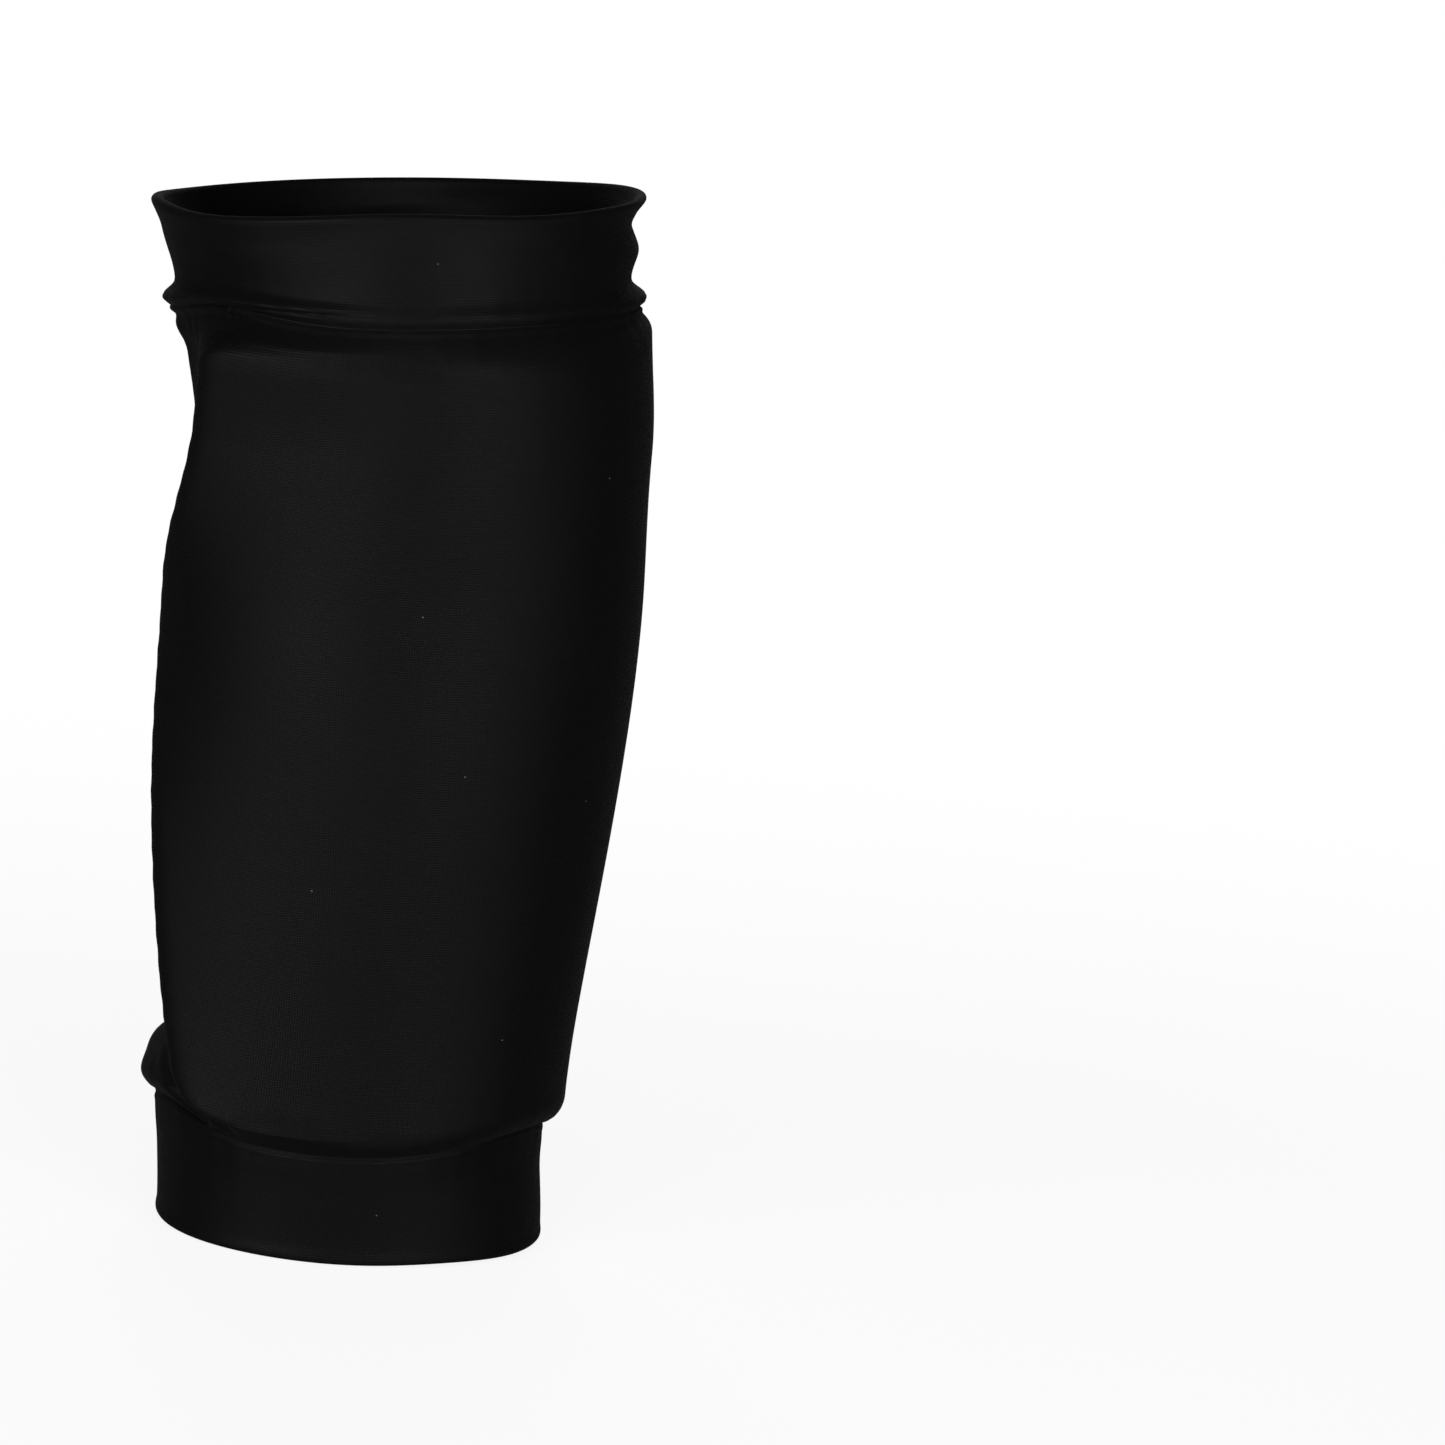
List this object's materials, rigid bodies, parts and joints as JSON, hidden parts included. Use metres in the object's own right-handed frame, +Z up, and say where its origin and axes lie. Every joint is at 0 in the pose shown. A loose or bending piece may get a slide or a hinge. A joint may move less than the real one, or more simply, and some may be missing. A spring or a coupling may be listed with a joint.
{
  "type": "shin guard",
  "caption": "Padded pull-on shin guard: a stretch-knit sleeve with a foam pad sewn into its front, a thin back panel and doubled elastic cuffs, in its worn shape.",
  "frame": {"origin": "centre of the lower rim, in the plane that the sleeve stands on", "axes": "+Z up the shin towards the knee, -Y out of the pad's front, +X to the right of a viewer who faces the pad"},
  "size_m": [0.1319, 0.1295, 0.2695],
  "materials": {
    "knit": "satin",
    "lining": "matte",
    "foam": "matte",
    "elastic": "matte",
    "overlock": "matte"
  },
  "bodies": {
    "root": {"front_cover": "knit", "foam_pad": "foam", "pad_lining": "lining", "back_panel": "knit", "right_side_seam": "overlock", "left_side_seam": "overlock", "upper_cuff": "knit", "upper_cuff_elastic": "elastic", "upper_cuff_join": "overlock", "upper_seam": "overlock", "lower_cuff": "knit", "lower_cuff_elastic": "elastic", "lower_cuff_join": "overlock", "lower_seam": "overlock"}
  },
  "joints": []
}
